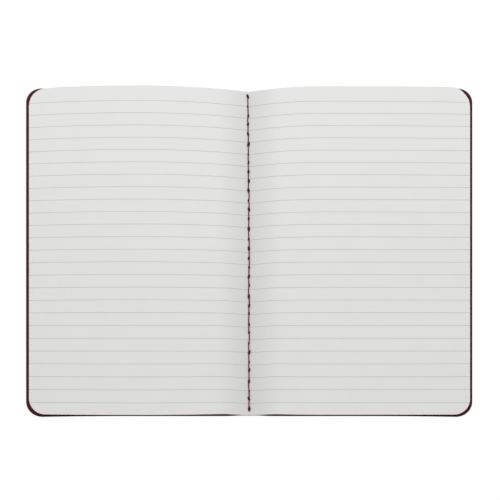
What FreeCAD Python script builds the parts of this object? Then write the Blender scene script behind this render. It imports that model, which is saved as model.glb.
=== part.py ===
import FreeCAD, Part
import math
import os
import Sketcher

# An open, thread-sewn notebook that lies flat on its soft card cover.
# The origin is on the table under the middle of the fold. +X runs to the right-hand fore-edge,
# +Y to the head of the pages and +Z up. All lengths are in millimetres.

Vector = FreeCAD.Vector

# The card cover
cover_height = 210.0
cover_reach = 142.0
card_thickness = 0.45
corner_radius = 10.0
fold_lift = 1.3
fold_reach = 8.0
curl_start = 77.0
curl_lift = 5.6

# The two stacks of pages
head_margin = 1.95
fore_margin = 1.5
page_creep = 1.3
fold_stack = 2.05
left_crown_reach = 68.0
left_crown_stack = 11.5
left_edge_stack = 2.2
right_crown_reach = 46.0
right_crown_stack = 10.6
right_edge_stack = 3.9

# The lock-stitched seam along the fold
thread_diameter = 0.8
leg_diameter = 0.6
knot_diameter = 1.0
knot_height = 0.9
hole_clearance = 0.05
seam_inset = 3.15
stitch_length = 6.1

doc = FreeCAD.newDocument("open_notebook")
sheet = doc.addObject("Spreadsheet::Sheet", "Sizes")
size_names = []


def add_size(alias, number, meaning):
    """Write one driving size into the sheet, under its alias."""
    size_names.append(alias)
    row = len(size_names)
    sheet.set("A%d" % row, alias)
    sheet.set("B%d" % row, str(number))
    sheet.setAlias("B%d" % row, alias)
    sheet.set("C%d" % row, meaning)


add_size("cover_height", cover_height, "head to tail")
add_size("cover_reach", cover_reach, "fold to fore-edge, one side")
add_size("card_thickness", card_thickness, "thickness of the card")
add_size("corner_radius", corner_radius, "rounded outer corners of card and pages")
add_size("fold_lift", fold_lift, "height of the fold above the table, over the sewing thread")
add_size("fold_reach", fold_reach, "distance from the fold at which the card meets the table")
add_size("curl_start", curl_start, "distance from the fold at which the card leaves the table")
add_size("curl_lift", curl_lift, "height of the card's fore-edge above the table")
add_size("head_margin", head_margin, "card that shows past the pages at head and tail")
add_size("fore_margin", fore_margin, "card that shows past the lowest page at the fore-edge")
add_size("page_creep", page_creep, "how far the top page stops short of the lowest one")
add_size("fold_stack", fold_stack, "thickness of the pages at the fold")
add_size("left_crown_reach", left_crown_reach, "fold to the highest line of the left pages")
add_size("left_crown_stack", left_crown_stack, "height of that line above the card")
add_size("left_edge_stack", left_edge_stack, "thickness of the left pages at the fore-edge")
add_size("right_crown_reach", right_crown_reach, "fold to the highest line of the right pages")
add_size("right_crown_stack", right_crown_stack, "height of that line above the card")
add_size("right_edge_stack", right_edge_stack, "thickness of the right pages at the fore-edge")
add_size("thread_diameter", thread_diameter, "sewing thread")
add_size("leg_diameter", leg_diameter, "the thread where it is pulled through the card and paper")
add_size("knot_diameter", knot_diameter, "the thread's bend at each needle hole")
add_size("knot_height", knot_height, "height of that bend")
add_size("hole_clearance", hole_clearance, "room round a knot in its needle hole")
add_size("seam_inset", seam_inset, "end of the pages to the first needle hole")
add_size("stitch_length", stitch_length, "distance between needle holes")
doc.recompute()

# Formulas that more than one piece needs
PAGE_HEIGHT = "(Sizes.cover_height - 2 * Sizes.head_margin)"
PAGE_REACH = "(Sizes.cover_reach - Sizes.fore_margin)"
TOP_PAGE_REACH = "(Sizes.cover_reach - Sizes.fore_margin - Sizes.page_creep)"
FOLD_RADIUS = "((Sizes.fold_reach ^ 2 + Sizes.fold_lift ^ 2) / (2 * Sizes.fold_lift))"
CURL_RUN = "(Sizes.cover_reach - Sizes.curl_start)"
CURL_RADIUS = "((%s ^ 2 + Sizes.curl_lift ^ 2) / (2 * Sizes.curl_lift))" % CURL_RUN
SEAM_LENGTH = "(%s - 2 * Sizes.seam_inset)" % PAGE_HEIGHT
STITCHES = "round(%s / Sizes.stitch_length)" % SEAM_LENGTH
HOLE_DIAMETER = "(Sizes.knot_diameter + 2 * Sizes.hole_clearance)"


def number(formula):
    """The value of a formula on the sheet's sizes."""
    return float(sheet.evalExpression(formula))


# The card's inner face: its radius where it curls, and its heights at the fold and under the page edge
inner_curl_radius = number(CURL_RADIUS) - number("Sizes.card_thickness")
INNER_FOLD = "(%s - sqrt((%s - Sizes.card_thickness) ^ 2 - Sizes.fold_reach ^ 2))" % (FOLD_RADIUS, FOLD_RADIUS)
INNER_EDGE = "(%s - sqrt((%s - Sizes.card_thickness) ^ 2 - (%s - Sizes.curl_start) ^ 2))" % (
    CURL_RADIUS, CURL_RADIUS, PAGE_REACH)
GUTTER = "(%s + Sizes.fold_stack)" % INNER_FOLD

# A sketch edge's start, end and centre, and the sketch's own origin and axes, as a sketch numbers them
POINT = {"start": 1, "end": 2, "centre": 3}
AXIS = {"across": -1, "up": -2}
ORIGIN = (AXIS["across"], POINT["start"])


class Outline:
    """A closed outline in a sketch, drawn from point to point."""

    def __init__(self, sketch, first):
        self.sketch = sketch
        self.here = first
        self.edges = []

    def line(self, to):
        edge = self.sketch.addGeometry(Part.LineSegment(self.here, to), False)
        return self.join(edge, POINT["start"], POINT["end"], to)

    def arc(self, to, centre):
        begin = math.atan2(self.here.y - centre.y, self.here.x - centre.x)
        stop = math.atan2(to.y - centre.y, to.x - centre.x)
        circle = Part.Circle(centre, Vector(0, 0, 1), (to - centre).Length)
        anticlockwise = (stop - begin) % (2 * math.pi) < math.pi
        if anticlockwise:
            edge = self.sketch.addGeometry(Part.ArcOfCircle(circle, begin, stop), False)
            return self.join(edge, POINT["start"], POINT["end"], to)
        edge = self.sketch.addGeometry(Part.ArcOfCircle(circle, stop, begin), False)
        return self.join(edge, POINT["end"], POINT["start"], to)

    def join(self, edge, first_end, last_end, to):
        if self.edges:
            tie(self.sketch, "Coincident", self.edges[-1][2], (edge, first_end))
        self.edges.append((edge, (edge, first_end), (edge, last_end)))
        self.here = to
        return self.edges[-1]

    def close(self):
        tie(self.sketch, "Coincident", self.edges[-1][2], self.edges[0][1])


def tie(sketch, kind, one, other):
    """Constrain two points of a sketch to each other."""
    sketch.addConstraint(Sketcher.Constraint(kind, one[0], one[1], other[0], other[1]))


def put_on(sketch, point, axis):
    """Keep a point on one of the sketch's axes."""
    sketch.addConstraint(Sketcher.Constraint("PointOnObject", point[0], point[1], axis))


def measure(sketch, kind, one, other, name, formula):
    """Hold the distance between two points, or from the origin, to a formula on the sizes."""
    constraint = Sketcher.Constraint(kind, one[0], one[1], other[0], other[1], number(formula))
    index = sketch.addConstraint(constraint)
    sketch.renameConstraint(index, name)
    sketch.setExpression("Constraints." + name, formula)


def reach(sketch, point, side, name, formula):
    """Hold a point's distance from the fold, on the side it lies."""
    if side > 0:
        measure(sketch, "DistanceX", ORIGIN, point, name, formula)
    else:
        measure(sketch, "DistanceX", point, ORIGIN, name, formula)


def rise(sketch, point, name, formula):
    """Hold a point's height above the table."""
    measure(sketch, "DistanceY", ORIGIN, point, name, formula)


def origin_feature(body, role):
    return [item for item in body.Origin.OriginFeatures if item.Role == role][0]


def new_body(name):
    body = doc.addObject("PartDesign::Body", name)
    body.Label = name
    return body


def new_sketch(body, name, plane):
    sketch = body.newObject("Sketcher::SketchObject", name)
    sketch.AttachmentSupport = (origin_feature(body, plane), [""])
    sketch.MapMode = "FlatFace"
    return sketch


def pad_section(body, sketch, name, length):
    """Give a section its length, half towards the head and half towards the tail."""
    pad = body.newObject("PartDesign::Pad", name)
    pad.Profile = (sketch, [""])
    pad.Midplane = True
    pad.setExpression("Length", length)
    sketch.Visibility = False
    doc.recompute()
    return pad


def round_corners(body, side, height, far):
    """Round the two outer corners of a half of the book, at the head and at the tail."""
    radius = number("Sizes.corner_radius")
    corner = Vector(side * number(far), number(height) / 2, 0)
    beside = corner - Vector(side * radius, 0, 0)
    below = corner - Vector(0, radius, 0)
    out = Vector(side * radius, 0, 0)
    up = Vector(0, radius, 0)

    sketch = new_sketch(body, body.Name + "_corner", "XY_Plane")
    outline = Outline(sketch, beside)
    head_side = outline.line(beside + up)
    beyond_head = outline.line(corner + up + out)
    beyond_edge = outline.line(below + out)
    fore_side = outline.line(below)
    rounding = outline.arc(beside, corner - up - out)
    outline.close()

    for upright in (head_side, beyond_edge):
        tie(sketch, "Vertical", upright[1], upright[2])
    for level in (beyond_head, fore_side):
        tie(sketch, "Horizontal", level[1], level[2])
    tie(sketch, "Vertical", (rounding[0], POINT["centre"]), head_side[1])
    reach(sketch, head_side[1], side, "beside_corner", "%s - Sizes.corner_radius" % far)
    rise(sketch, head_side[1], "head", "%s / 2" % height)
    rise(sketch, head_side[2], "past_head", "%s / 2 + Sizes.corner_radius" % height)
    reach(sketch, fore_side[2], side, "fore_edge", far)
    rise(sketch, fore_side[2], "below_corner", "%s / 2 - Sizes.corner_radius" % height)
    reach(sketch, fore_side[1], side, "past_edge", "%s + Sizes.corner_radius" % far)

    pocket = body.newObject("PartDesign::Pocket", body.Name + "_head_corner")
    pocket.Profile = (sketch, [""])
    pocket.Type = "ThroughAll"
    pocket.Midplane = True
    sketch.Visibility = False
    doc.recompute()
    mirrored = body.newObject("PartDesign::Mirrored", body.Name + "_tail_corner")
    mirrored.Originals = [pocket]
    mirrored.MirrorPlane = (origin_feature(body, "XZ_Plane"), [""])
    body.Tip = mirrored
    doc.recompute()


def pattern_along_seam(body, name, originals):
    """Repeat features at every needle hole, from the tail to the head."""
    pattern = body.newObject("PartDesign::LinearPattern", name)
    pattern.Originals = originals
    pattern.Direction = (origin_feature(body, "Y_Axis"), [""])
    pattern.setExpression("Length", SEAM_LENGTH)
    pattern.setExpression("Occurrences", STITCHES + " + 1")
    body.Tip = pattern
    doc.recompute()
    return pattern


def pierce_needle_holes(body):
    """Cut the needle holes along the fold, of which each half of the book holds one side."""
    sketch = new_sketch(body, body.Name + "_hole", "XY_Plane")
    first = Vector(0, -number(SEAM_LENGTH) / 2, 0)
    circle = sketch.addGeometry(Part.Circle(first, Vector(0, 0, 1), number(HOLE_DIAMETER) / 2), False)
    put_on(sketch, (circle, POINT["centre"]), AXIS["up"])
    measure(sketch, "DistanceY", (circle, POINT["centre"]), ORIGIN, "first_hole", SEAM_LENGTH + " / 2")
    index = sketch.addConstraint(Sketcher.Constraint("Diameter", circle, number(HOLE_DIAMETER)))
    sketch.renameConstraint(index, "hole_diameter")
    sketch.setExpression("Constraints.hole_diameter", HOLE_DIAMETER)
    pocket = body.newObject("PartDesign::Pocket", body.Name + "_needle_hole")
    pocket.Profile = (sketch, [""])
    pocket.Type = "ThroughAll"
    pocket.Midplane = True
    sketch.Visibility = False
    doc.recompute()
    return pattern_along_seam(body, body.Name + "_needle_holes", [pocket])


def make_cover(name, side):
    """Half of the card cover: raised at the fold, flat on the table, curling up at the fore-edge."""
    body = new_body(name)
    sketch = new_sketch(body, name + "_section", "XZ_Plane")
    far = number("Sizes.cover_reach")
    flat_start = number("Sizes.fold_reach")
    flat_end = number("Sizes.curl_start")
    card = number("Sizes.card_thickness")
    lift = number("Sizes.curl_lift")
    fold_centre = Vector(side * flat_start, number(FOLD_RADIUS), 0)
    curl_centre = Vector(side * flat_end, number(CURL_RADIUS), 0)
    far_top = curl_centre.y - math.sqrt(inner_curl_radius ** 2 - (far - flat_end) ** 2)

    outline = Outline(sketch, Vector(0, number("Sizes.fold_lift"), 0))
    under_fold = outline.arc(Vector(side * flat_start, 0, 0), fold_centre)
    under_flat = outline.line(Vector(side * flat_end, 0, 0))
    under_curl = outline.arc(Vector(side * far, lift, 0), curl_centre)
    fore_edge = outline.line(Vector(side * far, far_top, 0))
    inner_curl = outline.arc(Vector(side * flat_end, card, 0), curl_centre)
    inner_flat = outline.line(Vector(side * flat_start, card, 0))
    inner_fold = outline.arc(Vector(0, number(INNER_FOLD), 0), fold_centre)
    outline.line(Vector(0, number("Sizes.fold_lift"), 0))
    outline.close()

    put_on(sketch, under_fold[1], AXIS["up"])
    put_on(sketch, inner_fold[2], AXIS["up"])
    put_on(sketch, under_flat[1], AXIS["across"])
    put_on(sketch, under_flat[2], AXIS["across"])
    rise(sketch, under_fold[1], "fold_lift", "Sizes.fold_lift")
    reach(sketch, under_flat[1], side, "fold_reach", "Sizes.fold_reach")
    reach(sketch, under_flat[2], side, "curl_start", "Sizes.curl_start")
    reach(sketch, fore_edge[1], side, "cover_reach", "Sizes.cover_reach")
    rise(sketch, fore_edge[1], "curl_lift", "Sizes.curl_lift")
    tie(sketch, "Vertical", (under_fold[0], POINT["centre"]), under_flat[1])
    tie(sketch, "Vertical", (under_curl[0], POINT["centre"]), under_flat[2])
    tie(sketch, "Coincident", (under_fold[0], POINT["centre"]), (inner_fold[0], POINT["centre"]))
    tie(sketch, "Coincident", (under_curl[0], POINT["centre"]), (inner_curl[0], POINT["centre"]))
    tie(sketch, "Vertical", under_flat[2], inner_flat[1])
    tie(sketch, "Vertical", under_flat[1], inner_flat[2])
    tie(sketch, "Horizontal", inner_flat[1], inner_flat[2])
    rise(sketch, inner_flat[1], "card_thickness", "Sizes.card_thickness")
    tie(sketch, "Vertical", fore_edge[1], fore_edge[2])

    pad_section(body, sketch, name + "_card", "Sizes.cover_height")
    round_corners(body, side, "Sizes.cover_height", "Sizes.cover_reach")
    pierce_needle_holes(body)
    return body


def make_pages(name, side, crown_reach, crown_stack, edge_stack):
    """A stack of pages that rests on its cover, arches up from the fold and falls to the fore-edge."""
    body = new_body(name)
    sketch = new_sketch(body, name + "_section", "XZ_Plane")
    crown_height = "(Sizes.card_thickness + %s)" % crown_stack
    edge_height = "(%s + %s)" % (INNER_EDGE, edge_stack)
    flat_start = number("Sizes.fold_reach")
    flat_end = number("Sizes.curl_start")
    card = number("Sizes.card_thickness")
    bottom = number(PAGE_REACH)
    top = number(TOP_PAGE_REACH)
    fold_centre = Vector(side * flat_start, number(FOLD_RADIUS), 0)
    curl_centre = Vector(side * flat_end, number(CURL_RADIUS), 0)
    crown = Vector(side * number(crown_reach), number(crown_height), 0)
    gutter = Vector(0, number(GUTTER), 0)
    top_edge = Vector(side * top, number(edge_height), 0)

    def level_arc_centre(foot):
        """Centre of the arc that is level at the crown and runs down to a foot."""
        fall = crown.y - foot.y
        radius = ((foot.x - crown.x) ** 2 + fall ** 2) / (2 * fall)
        return Vector(crown.x, crown.y - radius, 0)

    outline = Outline(sketch, Vector(0, number(INNER_FOLD), 0))
    under_fold = outline.arc(Vector(side * flat_start, card, 0), fold_centre)
    under_flat = outline.line(Vector(side * flat_end, card, 0))
    under_curl = outline.arc(Vector(side * bottom, number(INNER_EDGE), 0), curl_centre)
    fore_edge = outline.line(top_edge)
    outer_slope = outline.arc(crown, level_arc_centre(top_edge))
    inner_slope = outline.arc(gutter, level_arc_centre(gutter))
    at_fold = outline.line(Vector(0, number(INNER_FOLD), 0))
    outline.close()

    put_on(sketch, under_fold[1], AXIS["up"])
    put_on(sketch, at_fold[1], AXIS["up"])
    reach(sketch, under_flat[1], side, "fold_reach", "Sizes.fold_reach")
    reach(sketch, under_flat[2], side, "curl_start", "Sizes.curl_start")
    tie(sketch, "Horizontal", under_flat[1], under_flat[2])
    rise(sketch, under_flat[1], "card_thickness", "Sizes.card_thickness")
    tie(sketch, "Vertical", (under_fold[0], POINT["centre"]), under_flat[1])
    tie(sketch, "Vertical", (under_curl[0], POINT["centre"]), under_flat[2])
    rise(sketch, (under_fold[0], POINT["centre"]), "fold_centre", FOLD_RADIUS)
    rise(sketch, (under_curl[0], POINT["centre"]), "curl_centre", CURL_RADIUS)
    reach(sketch, under_curl[2], side, "page_reach", PAGE_REACH)
    reach(sketch, fore_edge[2], side, "top_page_reach", TOP_PAGE_REACH)
    rise(sketch, fore_edge[2], "edge_height", edge_height)
    reach(sketch, outer_slope[2], side, "crown_reach", crown_reach)
    rise(sketch, outer_slope[2], "crown_height", crown_height)
    tie(sketch, "Vertical", (outer_slope[0], POINT["centre"]), outer_slope[2])
    tie(sketch, "Vertical", (inner_slope[0], POINT["centre"]), outer_slope[2])
    rise(sketch, at_fold[1], "gutter", GUTTER)

    pad_section(body, sketch, name + "_stack", PAGE_HEIGHT)
    round_corners(body, side, PAGE_HEIGHT, PAGE_REACH)
    pierce_needle_holes(body)
    return body


def make_thread(name, run_height, leg_direction):
    """One thread of the lock stitch: a run along the fold, with a knot and a leg at each needle hole.

    The run lies at run_height. Each leg goes down (-1) or up (+1) to the middle of the seam's depth,
    where the two threads are linked.
    """
    body = new_body(name)
    first_hole = "-%s / 2" % SEAM_LENGTH
    run = new_sketch(body, name + "_section", "XZ_Plane")
    centre = Vector(0, number(run_height), 0)
    circle = run.addGeometry(Part.Circle(centre, Vector(0, 0, 1), number("Sizes.thread_diameter") / 2), False)
    put_on(run, (circle, POINT["centre"]), AXIS["up"])
    rise(run, (circle, POINT["centre"]), "run_height", run_height)
    index = run.addConstraint(Sketcher.Constraint("Diameter", circle, number("Sizes.thread_diameter")))
    run.renameConstraint(index, "thread_diameter")
    run.setExpression("Constraints.thread_diameter", "Sizes.thread_diameter")
    pad_section(body, run, name + "_run", SEAM_LENGTH)

    plane = origin_feature(body, "XY_Plane")
    knot = body.newObject("PartDesign::AdditiveCylinder", name + "_knot")
    knot.AttachmentSupport = (plane, [""])
    knot.MapMode = "FlatFace"
    knot.setExpression("Radius", "Sizes.knot_diameter / 2")
    knot.setExpression("Height", "Sizes.knot_height")
    knot.setExpression("AttachmentOffset.Base.y", first_hole)
    knot.setExpression("AttachmentOffset.Base.z", run_height + " - Sizes.knot_height / 2")
    doc.recompute()

    link_height = "((Sizes.fold_lift + %s) / 2)" % GUTTER
    leg = body.newObject("PartDesign::AdditiveCylinder", name + "_leg")
    leg.AttachmentSupport = (plane, [""])
    leg.MapMode = "FlatFace"
    leg.setExpression("Radius", "Sizes.leg_diameter / 2")
    leg.setExpression("AttachmentOffset.Base.y", first_hole)
    if leg_direction < 0:
        leg.setExpression("AttachmentOffset.Base.z", link_height)
        leg.setExpression("Height", "%s - %s" % (run_height, link_height))
    else:
        leg.setExpression("AttachmentOffset.Base.z", run_height)
        leg.setExpression("Height", "%s - %s" % (link_height, run_height))
    doc.recompute()
    pattern_along_seam(body, name + "_stitches", [knot, leg])
    return body


# Slopes of the paper and of the card beside the fold, on which the two threads bear
PAGE_RISE = "(Sizes.card_thickness + Sizes.right_crown_stack - %s)" % GUTTER
PAGE_SLOPE = "atan(2 * %s / Sizes.right_crown_reach)" % PAGE_RISE
CARD_SLOPE = "asin(Sizes.fold_reach / %s)" % FOLD_RADIUS
INNER_RUN = "(%s + Sizes.thread_diameter / (2 * cos(%s)))" % (GUTTER, PAGE_SLOPE)
OUTER_RUN = "(Sizes.fold_lift - Sizes.thread_diameter / (2 * cos(%s)))" % CARD_SLOPE

FRONT, BACK = -1, 1
parts = [
    make_cover("front_cover", FRONT),
    make_cover("back_cover", BACK),
    make_pages("left_pages", FRONT, "Sizes.left_crown_reach", "Sizes.left_crown_stack", "Sizes.left_edge_stack"),
    make_pages("right_pages", BACK, "Sizes.right_crown_reach", "Sizes.right_crown_stack", "Sizes.right_edge_stack"),
    make_thread("inner_thread", INNER_RUN, -1),
    make_thread("outer_thread", OUTER_RUN, 1),
]

doc.recompute()
for item in doc.Objects:
    if "Invalid" in item.State or "Error" in item.State:
        raise RuntimeError("%s could not be made: %s" % (item.Name, item.State))
for part in parts:
    if part.Shape.isNull() or not part.Shape.isValid() or len(part.Shape.Solids) != 1:
        raise RuntimeError("%s is not one valid solid" % part.Label)

os.makedirs("parts", exist_ok=True)
for part in parts:
    part.Shape.exportStep("parts/%s.step" % part.Label)
    box = part.Shape.BoundBox
    print("%-14s volume %9.1f  x %.2f..%.2f  y %.2f..%.2f  z %.2f..%.2f" % (
        part.Label, part.Shape.Volume, box.XMin, box.XMax, box.YMin, box.YMax, box.ZMin, box.ZMax))
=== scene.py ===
import math
import random

import bpy
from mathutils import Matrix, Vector


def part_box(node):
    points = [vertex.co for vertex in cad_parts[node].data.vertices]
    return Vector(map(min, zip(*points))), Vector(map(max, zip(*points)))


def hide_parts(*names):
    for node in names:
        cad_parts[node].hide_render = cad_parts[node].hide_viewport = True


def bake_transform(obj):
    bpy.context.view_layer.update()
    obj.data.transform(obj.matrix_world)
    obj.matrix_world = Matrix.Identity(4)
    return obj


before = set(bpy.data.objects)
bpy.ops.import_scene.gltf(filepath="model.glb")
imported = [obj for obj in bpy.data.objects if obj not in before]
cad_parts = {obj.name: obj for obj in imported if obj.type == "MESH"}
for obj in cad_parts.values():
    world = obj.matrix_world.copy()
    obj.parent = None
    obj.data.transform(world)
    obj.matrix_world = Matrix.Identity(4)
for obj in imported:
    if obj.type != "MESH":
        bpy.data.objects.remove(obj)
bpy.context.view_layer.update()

# A sewn notebook that lies open at its middle: one grained card cover, the sheets of ruled paper folded into
# it, and the two threads of the seam. All lengths are in metres, in the frame's own axes.

MM = 0.001
random.seed(7)

# The card cover
COVER_LOW, COVER_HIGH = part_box("front_cover")[0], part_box("back_cover")[1]
CARD = 0.45 * MM
FOLD_LIFT = 1.3 * MM        # of the fold's underside above the table
FOLD_REACH = 8 * MM         # from the fold to where the card lies flat
CURL_START = 77 * MM        # from the fold to where the card starts to curl up again
CURL_LIFT = 5.6 * MM
CORNER_RADIUS = 10 * MM
CUT_EDGE = 0.1 * MM         # how wide the card's cut edge is rounded
HEAD_DIP, TAIL_DIP, DIP_REACH = 1.3 * MM, 0.5 * MM, 16 * MM    # the card draws in at both ends of the fold

# The sheets of paper
SHEETS = 22
PAPER = 0.09 * MM
PAGE_LOW, PAGE_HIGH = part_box("left_pages")[0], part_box("right_pages")[1]
PAGE_CREEP = 1.3 * MM       # how much shorter the open sheet reaches than the lowest one
FOLD_STACK = 2.05 * MM      # height of all the sheets at the fold
LEFT_CROWN, LEFT_CROWN_HEIGHT = 68 * MM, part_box("left_pages")[1].z
RIGHT_CROWN, RIGHT_CROWN_HEIGHT = 46 * MM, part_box("right_pages")[1].z
LEFT_EDGE_STACK = 2.2 * MM
RIGHT_EDGE_STACK = 3.9 * MM
WAVE_SHARE = 0.6            # of the room between two sheets, filled by a sheet with its waves
SLIP = 0.08                 # of a loose sheet off its even place; it fades towards the stack's top and bottom
SHORTEST_TRIM, LONGEST_TRIM = -0.0012, 0.0008    # how the sheets' widths vary
LOOSE_BY_FOLD, LOOSE_BY_EDGE = 40 * MM, 60 * MM    # over which the sheets come loose from each other
FOLD_DROP, DROP_REACH = 1.1 * MM, 18 * MM    # the sheets slip down the fold, most at the tail
EDGE_TRIM, TRIM_REACH = 0.3 * MM, 6 * MM    # the sheets are cut back a little at the fore-edges and the tail
# How the sheets' head corners draw in: the reach in X and in Y, then the draw in X and in Y
LEFT_HEAD_CORNER = (25 * MM, 8 * MM, 0, 0.7 * MM)
RIGHT_HEAD_CORNER = (14 * MM, 14 * MM, 1.2 * MM, 1.0 * MM)

SMOOTH_ANGLE = math.radians(40)
EDGE_ANGLE = math.radians(60)

# The ruling
RULED_LINES = 25
RULING = 7.87 * MM
RULE_MIDDLE = -0.8 * MM     # where an even middle line would lie, from the middle of the page
RULE_BOW = 1.6 * MM         # how much higher the middle line is, so that the lines lie closer in the upper half
RULE_WIDTH = 0.34 * MM
RULE_STRENGTH = 0.74
RULE_SOFT_FROM, RULE_SOFT_TO = 0.35, 0.65    # where a line fades out, in line widths from its middle
INK_LEAST, INK_GRAIN = 0.75, 0.4    # how the ink varies along a line

# The paper's tones, and its painted shade by the fold
FIBRE_STRENGTH = 0.25
FOLD_PAINTED_SHADE, FOLD_PAINTED_SHADE_FROM, FOLD_PAINTED_SHADE_TO = 0.85, 3 * MM, 22 * MM    # painted shade: the paper is greyer by the fold, where the gutter's shade falls

# The seam
SEAM_END = 0.5 * MM         # how far a knot reaches past the last needle hole
SEAM_LOW, SEAM_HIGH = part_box("inner_thread")[0].y + SEAM_END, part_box("inner_thread")[1].y - SEAM_END
STITCHES = 33
STITCH = (SEAM_HIGH - SEAM_LOW) / STITCHES
STITCH_STEPS = 24
HOLE_WANDER = 0.3           # how far a needle hole strays sideways, as a share of a stitch's stray
STITCH_LIFTS = (0.6, 1.3)   # how far the stitches bow away from the paper, times their rise
STITCH_FULLNESS = 0.35      # below 1, a stitch leaves its hole steeply and runs level in between
THREAD = 0.8 * MM
PLIES = 3
TWIST_PITCH = 2.3 * MM
TAIL_DRIFT, HEAD_DRIFT = 0.1 * MM, 0.75 * MM    # the seam runs off the fold, and by this much more at the head
SEAM_BEND = 400 * MM        # a width of bend for the seams, listed with them below

# The knots, each a flat loop of thread that is bound by a ring
BIG_KNOTS = (0, 1, 3, 4, 6, 12, 14, 16, 17, 19, 21, 23, 24, 25, 28, 29, 33)    # counted from the tail
BIG_SIZES, SMALL_SIZES = (1.2, 1.5), (0.85, 1.3)
KNOT_SHIFT_X, KNOT_SHIFT_Y = 0.15 * MM, 0.7 * MM
KNOT_TILT, KNOT_TURN = 0.15, 0.3
KNOT_THREAD = 0.27 * MM     # radius
KNOT_RINGS = ((0.34 * MM, 0, 1.9), (0.36 * MM, math.pi / 2, 1.0))    # radius, lean and stretch

# Colours, as linear red, green and blue
WHITE = (1, 1, 1)
PAPER_LOW, PAPER_HIGH = (0.765, 0.765, 0.760), (0.800, 0.800, 0.795)
PAPER_FIBRES = (0.72, 0.72, 0.71)
# the grey of the painted shade by the fold
PAPER_PAINTED_SHADE = (0.68, 0.68, 0.675)
RULE_GREY = (0.41, 0.405, 0.40)
CARD_LOW, CARD_HIGH = (0.048, 0.0062, 0.0095), (0.066, 0.0095, 0.0145)
CARD_FLECKS = (0.095, 0.020, 0.026)
THREAD_LOW, THREAD_HIGH = (0.125, 0.0035, 0.0100), (0.310, 0.0100, 0.0240)
KNOT_PAINTED_SHADE = 0.27           # painted shade: the knots' thread is darkened to this share, for the shade in the needle holes
FLOOR_GREY = (0.86, 0.86, 0.86)


def deselect_all():
    bpy.ops.object.select_all(action="DESELECT")


def choose(*pieces):
    """Select just these pieces, the first of them active."""
    deselect_all()
    for piece in pieces:
        piece.select_set(True)
    bpy.context.view_layer.objects.active = pieces[0]


def apply_modifier(piece, kind, **settings):
    """Add a modifier, set it and apply it."""
    choose(piece)
    modifier = piece.modifiers.new(kind.title(), kind)
    for name, value in settings.items():
        setattr(modifier, name, value)
    bpy.ops.object.modifier_apply(modifier=modifier.name)


def join(*pieces):
    """Join pieces into the first of them."""
    choose(*pieces)
    bpy.ops.object.join()


def smooth_faces(piece):
    choose(piece)
    bpy.ops.object.shade_smooth_by_angle(angle=SMOOTH_ANGLE)


def ease(value):
    """A smooth step from 0 to 1."""
    value = max(0.0, min(1.0, value))
    return value * value * (3 - 2 * value)


# Heights across the open book, at a distance x from the fold

def arc_radius(run, rise):
    """Radius of an arc that starts level and rises by rise over run."""
    return (run * run + rise * rise) / (2 * rise)


FOLD_ARC = arc_radius(FOLD_REACH, FOLD_LIFT)
CURL_ARC = arc_radius(COVER_HIGH.x - CURL_START, CURL_LIFT)


def card_height(x, depth):
    """Height of the card at a depth through its thickness, from 0 at its underside to CARD inside."""
    across = abs(x)
    if across < FOLD_REACH:
        return FOLD_ARC - math.sqrt((FOLD_ARC - depth) ** 2 - (FOLD_REACH - across) ** 2)
    if across > CURL_START:
        return CURL_ARC - math.sqrt((CURL_ARC - depth) ** 2 - (across - CURL_START) ** 2)
    return depth


GUTTER = card_height(0, CARD) + FOLD_STACK    # height of the open pages at the fold


def page_top(x):
    """Height of the open pages: arcs that meet level at each side's crown."""
    across = abs(x)
    if x < 0:
        crown, height, stack = LEFT_CROWN, LEFT_CROWN_HEIGHT, LEFT_EDGE_STACK
    else:
        crown, height, stack = RIGHT_CROWN, RIGHT_CROWN_HEIGHT, RIGHT_EDGE_STACK
    if across < crown:
        radius = arc_radius(crown, height - GUTTER)
    else:
        edge = card_height(PAGE_HIGH.x, CARD) + stack
        radius = arc_radius(PAGE_HIGH.x - PAGE_CREEP - crown, height - edge)
    return height - radius + math.sqrt(radius ** 2 - (across - crown) ** 2)


def sheet_thickness(x):
    """A lower sheet's thickness: plain paper at the fold, and with its waves where the sheets fan out."""
    room = (page_top(x) - card_height(x, CARD)) / (SHEETS - 1)
    return max(PAPER, WAVE_SHARE * room)


def sheet_height(x, share, slip):
    """Middle of a sheet's thickness, where share runs from 0 at the cover to 1 at the open spread.

    The slip moves a sheet off its even place in the stack, where the sheets lie loose.
    """
    low = card_height(x, CARD) + (PAPER if share == 1 else sheet_thickness(x)) / 2
    high = page_top(x) - PAPER / 2
    across = abs(x)
    looseness = ease((across - FOLD_REACH) / LOOSE_BY_FOLD) * ease((PAGE_HIGH.x - across) / LOOSE_BY_EDGE)
    return low + (high - low) * (share + slip * looseness * share * (1 - share))


# The card and the sheets

def cut_positions(reach, fine_step, step):
    """Distances from the fold at which a flat sheet is cut into strips: close together near the fold."""
    fine = [fine_step * index for index in range(int(round(FOLD_REACH / fine_step)) + 1)]
    count = int((reach - FOLD_REACH) / step)
    return fine + [FOLD_REACH + (reach - FOLD_REACH) * (index + 1) / (count + 1) for index in range(count)]


def cut_through(place, normal):
    """Cut the whole mesh in edit mode along a plane."""
    bpy.ops.mesh.select_all(action="SELECT")
    bpy.ops.mesh.bisect(plane_co=place, plane_no=normal)


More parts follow.
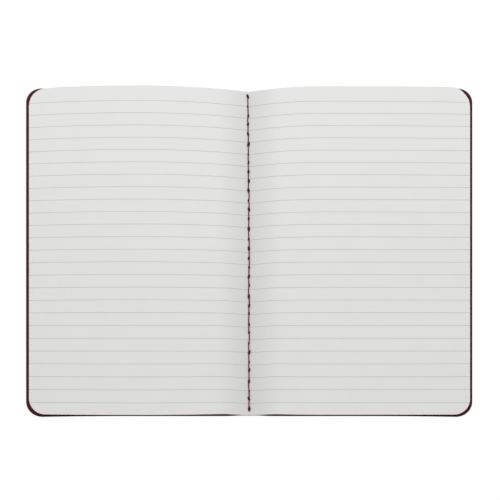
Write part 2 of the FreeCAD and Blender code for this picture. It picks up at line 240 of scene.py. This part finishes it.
def flat_sheet(name, low, high, corner_segments, fine_step, step, rows):
    """A flat sheet with rounded corners, cut into strips and rows so that it can bend.

    The strips are fine_step wide by the fold and about step wide elsewhere. Its UV map is in metres, so that its
    pattern stays with it when it bends.
    """
    height = high.y - low.y
    deselect_all()
    bpy.ops.mesh.primitive_plane_add(size=1)
    sheet = bpy.context.object
    sheet.name = name
    bpy.ops.object.mode_set(mode="EDIT")
    bpy.ops.mesh.select_all(action="SELECT")
    bpy.ops.transform.resize(value=(high.x - low.x, height, 1))
    bpy.ops.mesh.bevel(offset=CORNER_RADIUS, segments=corner_segments, affect="VERTICES")
    for place in cut_positions(high.x, fine_step, step):
        for side in (-1, 1) if place else (1,):
            cut_through((side * place, 0, 0), (1, 0, 0))
    for row in range(1, rows):
        cut_through((0, height * (row / rows - 0.5), 0), (0, 1, 0))
    bpy.ops.object.mode_set(mode="OBJECT")

    layer = sheet.data.uv_layers.active
    layer.name = "flat"
    for loop in sheet.data.loops:
        place = sheet.data.vertices[loop.vertex_index].co
        layer.data[loop.index].uv = (place.x, place.y)
    return sheet


def make_cover():
    """The whole card: one sheet, creased at the fold, with a rounded cut edge."""
    cover = flat_sheet(
        "card_cover", COVER_LOW, COVER_HIGH, corner_segments=14, fine_step=1 * MM, step=3 * MM, rows=20)
    for vertex in cover.data.vertices:
        place = vertex.co
        if abs(place.y) > COVER_HIGH.y - CORNER_RADIUS:
            dip = HEAD_DIP if place.y > 0 else -TAIL_DIP
            place.y -= dip * ease(1 - abs(place.x) / DIP_REACH)
        place.z = card_height(place.x, CARD / 2)
    apply_modifier(cover, "SOLIDIFY", thickness=CARD, offset=0, use_even_offset=True)
    apply_modifier(cover, "BEVEL", width=CUT_EDGE, segments=2, limit_method="ANGLE", angle_limit=EDGE_ANGLE)
    smooth_faces(cover)
    return cover


def draw_in_head_corner(place):
    """Draw a sheet's head corner in a little, which bares more of the card."""
    reach_x, reach_y, draw_x, draw_y = RIGHT_HEAD_CORNER if place.x > 0 else LEFT_HEAD_CORNER
    share = ease(1 - (PAGE_HIGH.x - abs(place.x)) / reach_x) * ease(1 - (PAGE_HIGH.y - place.y) / reach_y)
    place.x -= math.copysign(draw_x * share, place.x)
    place.y -= draw_y * share


def bend_sheet(sheet, share, slip=0):
    """Bend a flat sheet to its place in the stack. Lower sheets reach a little farther out."""
    reach = PAGE_HIGH.x - EDGE_TRIM - PAGE_CREEP * share
    for vertex in sheet.data.vertices:
        place = vertex.co
        draw_in_head_corner(place)
        place.x *= reach / PAGE_HIGH.x
        place.y += EDGE_TRIM * ease(1 - (place.y - PAGE_LOW.y) / TRIM_REACH)
        from_head = (PAGE_HIGH.y - place.y) / (2 * PAGE_HIGH.y)
        place.y -= FOLD_DROP * from_head * ease(1 - abs(place.x) / DROP_REACH)
        place.z = sheet_height(place.x, share, slip)


def finish_paper(paper, thickness, **settings):
    """Give bent sheets their thickness."""
    apply_modifier(paper, "SOLIDIFY", thickness=thickness, offset=0, **settings)
    smooth_faces(paper)


def make_open_sheet():
    """The innermost sheet, which is the open spread."""
    sheet = flat_sheet(
        "open_sheet", PAGE_LOW, PAGE_HIGH, corner_segments=14, fine_step=0.5 * MM, step=2 * MM, rows=34)
    bend_sheet(sheet, 1.0)
    finish_paper(sheet, PAPER)
    return sheet


def make_lower_sheets():
    """The other sheets, folded round the open one and fanned out by the arch of the pages."""
    first = flat_sheet(
        "lower_sheets", PAGE_LOW, PAGE_HIGH, corner_segments=8, fine_step=1 * MM, step=4 * MM, rows=8)
    sheets = [first]
    for _ in range(SHEETS - 2):
        choose(first)
        bpy.ops.object.duplicate(linked=False)
        sheets.append(bpy.context.object)
    for index, sheet in enumerate(sheets):
        trim = 1 + random.uniform(SHORTEST_TRIM, LONGEST_TRIM)
        for vertex in sheet.data.vertices:
            vertex.co.x *= trim
        bend_sheet(sheet, index / (SHEETS - 1), random.uniform(-SLIP, SLIP))
    join(*sheets)
    thickest = max(sheet_thickness(-LEFT_CROWN), sheet_thickness(RIGHT_CROWN))
    group = first.vertex_groups.new(name="thickness")
    for vertex in first.data.vertices:
        group.add([vertex.index], sheet_thickness(vertex.co.x) / thickest, "REPLACE")
    finish_paper(first, thickest, vertex_group=group.name)
    return first


# The seam

def seam_drift(part):
    """How far the seam runs off the fold, at a part of its length from the tail."""
    return -(TAIL_DRIFT + HEAD_DRIFT * part ** 3)


def stitch_path(side, base, rise, dip, wander):
    """Points along one thread of the seam, from the tail to the head: side is 1 inside the book, -1 outside.

    The thread bows away from the paper between the needle holes and dips towards it at each one.
    """
    holes = [random.uniform(-HOLE_WANDER, HOLE_WANDER) * wander for _ in range(STITCHES + 1)]
    middles = [random.uniform(-1, 1) * wander for _ in range(STITCHES)]
    lifts = [random.uniform(*STITCH_LIFTS) for _ in range(STITCHES)]
    points = []
    for stitch in range(STITCHES):
        for step in range(STITCH_STEPS):
            part = step / STITCH_STEPS
            swell = math.sin(math.pi * part)
            x = holes[stitch] * (1 - part) + holes[stitch + 1] * part + middles[stitch] * swell
            x += seam_drift((stitch + part) / STITCHES)
            height = base - side * dip * (1 - swell ** STITCH_FULLNESS) + side * rise * lifts[stitch] * swell
            points.append(Vector((x, SEAM_LOW + (stitch + part) * STITCH, height)))
    points.append(Vector((holes[-1] + seam_drift(1), SEAM_HIGH, base - side * dip)))
    return points


def twisted_thread(name, path, ply_radius, twist_radius):
    """Plies laid round each other along a path, made solid and joined into one thread."""
    strands = []
    for ply in range(PLIES):
        curve = bpy.data.curves.new(name, "CURVE")
        curve.dimensions = "3D"
        curve.bevel_depth = ply_radius
        curve.bevel_resolution = 1
        curve.use_fill_caps = True
        spline = curve.splines.new("POLY")
        spline.points.add(len(path) - 1)
        travelled = 0
        for index, point in enumerate(path):
            if index:
                travelled += (point - path[index - 1]).length
            turn = 2 * math.pi * (travelled / TWIST_PITCH + ply / PLIES)
            place = point + twist_radius * Vector((math.cos(turn), 0, math.sin(turn)))
            spline.points[index].co = (*place, 1)
        strand = bpy.data.objects.new(name, curve)
        bpy.context.collection.objects.link(strand)
        strands.append(strand)
    choose(*strands)
    bpy.ops.object.convert(target="MESH")
    bpy.ops.object.join()
    thread = bpy.context.object
    thread.name = name
    return thread


def add_knots(thread, height, material):
    """Lay small tight turns of thread over the run at each needle hole."""
    knots = []
    for hole in range(STITCHES + 1):
        size = random.uniform(*(BIG_SIZES if hole in BIG_KNOTS else SMALL_SIZES))
        x = seam_drift(hole / STITCHES) + random.uniform(-1, 1) * KNOT_SHIFT_X
        y = SEAM_LOW + hole * STITCH
        if 0 < hole < STITCHES:
            y += random.uniform(-1, 1) * KNOT_SHIFT_Y
        for radius, lean, stretch in KNOT_RINGS:
            deselect_all()
            bpy.ops.mesh.primitive_torus_add(
                major_segments=18, minor_segments=8, major_radius=radius * size, minor_radius=KNOT_THREAD * size)
            bpy.ops.transform.resize(value=(1, stretch, 1))
            for axis, angle in (("X", lean + random.uniform(-KNOT_TILT, KNOT_TILT)),
                                ("Z", random.uniform(-KNOT_TURN, KNOT_TURN))):
                bpy.ops.transform.rotate(value=angle, orient_axis=axis, center_override=(0, 0, 0))
            bpy.ops.transform.translate(value=(x, y, height))
            bpy.ops.object.transform_apply(location=True, rotation=True, scale=True)
            knot = bpy.context.object
            knot.data.materials.append(material)
            knots.append(knot)
    join(thread, *knots)


# Materials

class Term:
    """A value in a node tree, on which Python's own operators work."""

    def __init__(self, nodes, socket):
        self.nodes = nodes
        self.socket = socket

    def __add__(self, other):
        return self.nodes.maths("ADD", self, other)

    def __radd__(self, other):
        return self.nodes.maths("ADD", other, self)

    def __sub__(self, other):
        return self.nodes.maths("SUBTRACT", self, other)

    def __rsub__(self, other):
        return self.nodes.maths("SUBTRACT", other, self)

    def __mul__(self, other):
        return self.nodes.maths("MULTIPLY", self, other)

    def __rmul__(self, other):
        return self.nodes.maths("MULTIPLY", other, self)

    def __lt__(self, other):
        return self.nodes.maths("LESS_THAN", self, other)


class Nodes:
    """A node tree, to which nodes are added with their settings and values."""

    def __init__(self, tree):
        self.tree = tree

    def connect(self, value, socket):
        """Link a term to a socket, or set the socket to a plain value."""
        if isinstance(value, Term):
            self.tree.links.new(value.socket, socket)
        else:
            socket.default_value = value

    def node(self, kind, settings=None, *values, out=0, **named):
        """Add a node: its settings first, then the values or links of its sockets."""
        node = self.tree.nodes.new("ShaderNode" + kind)
        for name, value in (settings or {}).items():
            setattr(node, name, value)
        for socket, value in zip(node.inputs, values):
            self.connect(value, socket)
        for name, value in named.items():
            self.connect(value, node.inputs[name.replace("_", " ")])
        return Term(self, node.outputs[out])

    def maths(self, operation, *values):
        return self.node("Math", {"operation": operation}, *values)

    def blend(self, factor, first, second):
        """Mix two colours."""
        node = self.tree.nodes.new("ShaderNodeMix")
        node.data_type = "RGBA"
        factor_at, first_at, second_at, result_at = 0, 6, 7, 2    # a Mix node's sockets for colours
        for value, socket_at in ((factor, factor_at), (first, first_at), (second, second_at)):
            self.connect(value, node.inputs[socket_at])
        return Term(self, node.outputs[result_at])

    def smooth(self, value, start, stop):
        """1 below start, 0 above stop, and smooth in between."""
        return self.node("MapRange", {"interpolation_type": "SMOOTHSTEP"}, value, start, stop, 1.0, 0.0)

    def bump(self, height, strength, distance):
        return self.node("Bump", None, Strength=strength, Distance=distance, Height=height)


class Surface(Nodes):
    """A material built from nodes, with one shader whose own sockets hold what is the same all over."""

    def __init__(self, name, **uniform):
        self.material = bpy.data.materials.new(name)
        self.material.use_nodes = True
        super().__init__(self.material.node_tree)
        self.shader = self.tree.nodes["Principled BSDF"]
        for socket, value in uniform.items():
            self.shader.inputs[socket.replace("_", " ")].default_value = value

    def feed(self, socket, term):
        self.tree.links.new(term.socket, self.shader.inputs[socket])


def colour(rgb, share=1):
    """A colour with its alpha, darkened to a share of its light."""
    return (*(value * share for value in rgb), 1.0)


def ruled_paper():
    """White uncoated paper with pale grey lines and small fibres, and painted shade by the fold."""
    paper = Surface("ruled_paper", Roughness=0.75, Specular_IOR_Level=0.25)
    flat = paper.node("UVMap", {"uv_map": "flat"})
    across = paper.node("SeparateXYZ", None, flat, out=0)
    along = paper.node("SeparateXYZ", None, flat, out=1)

    first_line = RULING * (RULED_LINES - 1) / 2
    part = along * (1 / first_line)
    from_middle = along - RULE_MIDDLE - RULE_BOW * (1 - part * part)
    whole_rulings = first_line + RULING * 4    # keeps the distance that is folded below positive
    nearest = paper.maths("PINGPONG", from_middle + whole_rulings, RULING / 2)
    on_page = paper.maths("ABSOLUTE", from_middle) < (first_line + RULING / 2)
    ink_grain = paper.node("TexNoise", None, flat, Scale=9000.0, Detail=2.0)
    ink = INK_LEAST + ink_grain * INK_GRAIN
    line = paper.smooth(nearest, RULE_WIDTH * RULE_SOFT_FROM, RULE_WIDTH * RULE_SOFT_TO) * on_page * ink

    fibres = paper.node("TexNoise", None, flat, Scale=2500.0, Detail=4.0, Roughness=0.65)
    clouds = paper.node("TexNoise", None, flat, Scale=70.0, Detail=3.0)
    # Painted shade: the paper is greyed towards the fold, where the gutter's shade falls
    painted_fold_shade = paper.smooth(paper.maths("ABSOLUTE", across), FOLD_PAINTED_SHADE_FROM, FOLD_PAINTED_SHADE_TO)
    tone = paper.blend(clouds, colour(PAPER_LOW), colour(PAPER_HIGH))
    tone = paper.blend(fibres * FIBRE_STRENGTH, tone, colour(PAPER_FIBRES))
    tone = paper.blend(painted_fold_shade * FOLD_PAINTED_SHADE, tone, colour(PAPER_PAINTED_SHADE))
    paper.feed("Base Color", paper.blend(line * RULE_STRENGTH, tone, colour(RULE_GREY)))
    paper.feed("Normal", paper.bump(fibres, strength=0.15, distance=0.03 * MM))
    return paper.material


def cover_card():
    """Dark red card with a fine pressed grain."""
    card = Surface("cover_card", Specular_IOR_Level=0.08)
    flat = card.node("UVMap", {"uv_map": "flat"})
    pebbles = card.node("TexVoronoi", {"feature": "SMOOTH_F1"}, flat, Scale=1900.0)
    clouds = card.node("TexNoise", None, flat, Scale=140.0, Detail=4.0)
    flecks = card.node("TexNoise", None, flat, Scale=5200.0, Detail=2.0)
    tone = card.blend(clouds, colour(CARD_LOW), colour(CARD_HIGH))
    card.feed("Base Color", card.blend(flecks * 0.3, tone, colour(CARD_FLECKS)))
    card.feed("Roughness", 0.55 + clouds * 0.15)
    card.feed("Normal", card.bump(pebbles, strength=0.45, distance=0.08 * MM))
    return card.material


def sewing_thread(name, share=1):
    """Dark red twisted thread with fine fibres, at a share of its own lightness; below 1 it is a darker copy
    that paints shade.
    """
    thread = Surface(name, Roughness=0.55, Specular_IOR_Level=0.2, Sheen_Weight=0.05, Sheen_Roughness=0.5)
    place = thread.node("TexCoord", None, out="Object")
    fibres = thread.node("TexNoise", None, place, Scale=6000.0, Detail=3.0)
    thread.feed("Base Color", thread.blend(fibres, colour(THREAD_LOW, share), colour(THREAD_HIGH, share)))
    thread.feed("Normal", thread.bump(fibres, strength=0.4, distance=0.05 * MM))
    return thread.material


def dress(piece, material):
    piece.data.materials.clear()
    piece.data.materials.append(material)


# The pieces, which take the place of the parts from model.glb

paper_material = ruled_paper()
thread_material = sewing_thread("sewing_thread")
# The knots get a darker copy of the thread: painted shade for the needle holes
painted_shade_knot_material = sewing_thread("sewing_thread_painted_shade", KNOT_PAINTED_SHADE)

cover = make_cover()
dress(cover, cover_card())
open_sheet = make_open_sheet()
dress(open_sheet, paper_material)
lower_sheets = make_lower_sheets()
dress(lower_sheets, paper_material)

inner_path = stitch_path(1, base=GUTTER + 0.5 * THREAD, rise=0.25 * MM, dip=0.5 * MM, wander=0.3 * MM)
inner_seam = twisted_thread("inner_seam", inner_path, ply_radius=0.22 * MM, twist_radius=0.2 * MM)
dress(inner_seam, thread_material)
add_knots(inner_seam, GUTTER + 0.55 * THREAD, painted_shade_knot_material)

outer_path = stitch_path(-1, base=FOLD_LIFT - 0.5 * THREAD, rise=0.05 * MM, dip=0.5 * MM, wander=0.2 * MM)
outer_seam = twisted_thread("outer_seam", outer_path, ply_radius=0.2 * MM, twist_radius=0.18 * MM)
dress(outer_seam, thread_material)

for piece, slot, nodes, bend in (
        (cover, "cover_card", ("front_cover", "back_cover"), FOLD_REACH),
        (open_sheet, "ruled_paper", ("left_pages", "right_pages"), FOLD_REACH),
        (lower_sheets, "ruled_paper", ("left_pages", "right_pages"), FOLD_REACH),
        (inner_seam, "sewing_thread", ("inner_thread",), SEAM_BEND),
        (outer_seam, "sewing_thread", ("outer_thread",), SEAM_BEND)):
    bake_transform(piece)
    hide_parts(*nodes)

# The stage, the lights and the camera

deselect_all()
bpy.ops.mesh.primitive_plane_add(size=6, location=(0, 0, 0))
floor = bpy.context.object
floor.name = "floor"

FLOOR_WHITE_SHARE = 0.9    # the rest of the floor shows the book's shadow
WHITE_STRENGTH = 1.05
AMBIENT_STRENGTH = 0.405


def show_white(nodes, lit, white_kind, share, output):
    """Show a shader as white, by a share, to the camera and in reflections, and leave its light alone."""
    seen = nodes.node("LightPath", None, out="Is Camera Ray")
    for rays in ("Is Glossy Ray", "Is Transmission Ray"):
        seen = nodes.maths("MAXIMUM", seen, nodes.node("LightPath", None, out=rays))
    white = nodes.node(white_kind, None, Color=colour(WHITE), Strength=WHITE_STRENGTH)
    mixed = nodes.node("MixShader", None, seen * share, Term(nodes, lit.outputs[0]), white)
    nodes.connect(mixed, nodes.tree.nodes[output].inputs["Surface"])


floor_surface = Surface("pale_floor", Base_Color=colour(FLOOR_GREY), Roughness=0.9)
show_white(floor_surface, floor_surface.shader, "Emission", FLOOR_WHITE_SHARE, "Material Output")
dress(floor, floor_surface.material)

world = bpy.data.worlds.new("studio")
world.use_nodes = True
bpy.context.scene.world = world
ambient = world.node_tree.nodes["Background"]
ambient.inputs["Color"].default_value = colour(WHITE)
ambient.inputs["Strength"].default_value = AMBIENT_STRENGTH
show_white(Nodes(world.node_tree), ambient, "Background", 1, "World Output")


def soft_lamp(name, place, size, power):
    """A square lamp that faces the book."""
    data = bpy.data.lights.new(name, "AREA")
    data.size = size
    data.energy = power
    lamp = bpy.data.objects.new(name, data)
    bpy.context.collection.objects.link(lamp)
    lamp.location = place
    lamp.rotation_euler = (-Vector(place)).to_track_quat("-Z", "Y").to_euler()


soft_lamp("key_lamp", (0.0, 0.75, 1.1), size=0.9, power=12.4)
soft_lamp("fill_lamp", (0.0, -1.2, 0.25), size=0.8, power=3.0)

TABLE_SCALE = 0.648 * MM         # of one pixel of the 500 x 500 picture, on the table
PICTURE = 500
CAMERA_HEIGHT = 330 * MM
NADIR_ROW, NADIR_COLUMN = 350, 250    # the pixel right under the camera
FOLD_COLUMN, MIDDLE_ROW = 249.2, 254.0

camera_data = bpy.data.cameras.new("camera")
camera_data.sensor_width = 36
camera_data.lens = camera_data.sensor_width * CAMERA_HEIGHT / (PICTURE * TABLE_SCALE)
camera_data.shift_y = (NADIR_ROW - PICTURE / 2) / PICTURE
camera_data.clip_start = 0.01
camera = bpy.data.objects.new("camera", camera_data)
bpy.context.collection.objects.link(camera)
camera.location = (
    (NADIR_COLUMN - FOLD_COLUMN) * TABLE_SCALE, (MIDDLE_ROW - NADIR_ROW) * TABLE_SCALE, CAMERA_HEIGHT)
bpy.context.scene.camera = camera
bpy.context.scene.view_settings.view_transform = "Standard"
